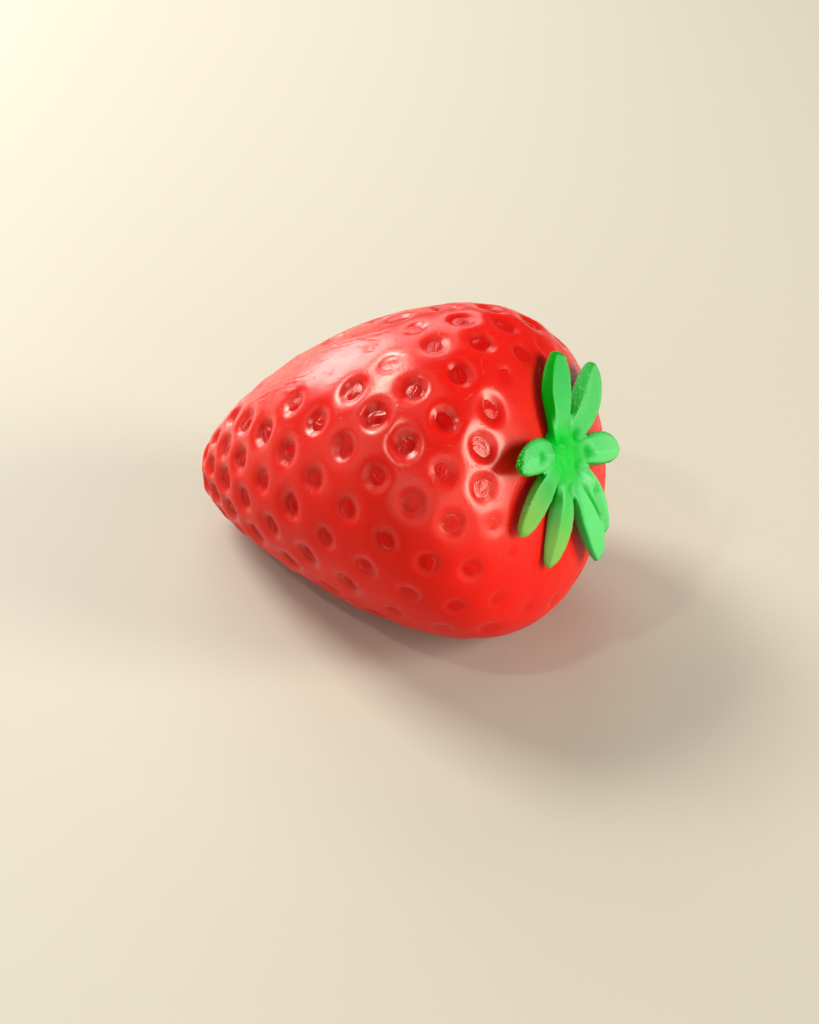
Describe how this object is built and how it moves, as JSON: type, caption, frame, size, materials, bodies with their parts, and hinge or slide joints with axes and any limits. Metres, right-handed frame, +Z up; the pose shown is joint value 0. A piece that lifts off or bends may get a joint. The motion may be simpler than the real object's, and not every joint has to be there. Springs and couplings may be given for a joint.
{
  "type": "marzipan strawberry",
  "caption": "Marzipan sweet shaped as a strawberry lying on its side: a tapered red berry with rings of round seed dimples, and a green star of thick leaves on its blunt end.",
  "frame": {"origin": "middle of the bounding box, at the height of the flat spot that the berry rests on", "axes": "+Z up; the tip points towards -X and the leaf star towards +X"},
  "size_m": [0.0736, 0.0576, 0.0503],
  "materials": {
    "red_marzipan": "satin, slightly waxy",
    "green_marzipan": "satin, slightly waxy"
  },
  "bodies": {
    "root": {"berry": "red_marzipan", "leaf_star": "green_marzipan"}
  },
  "joints": []
}
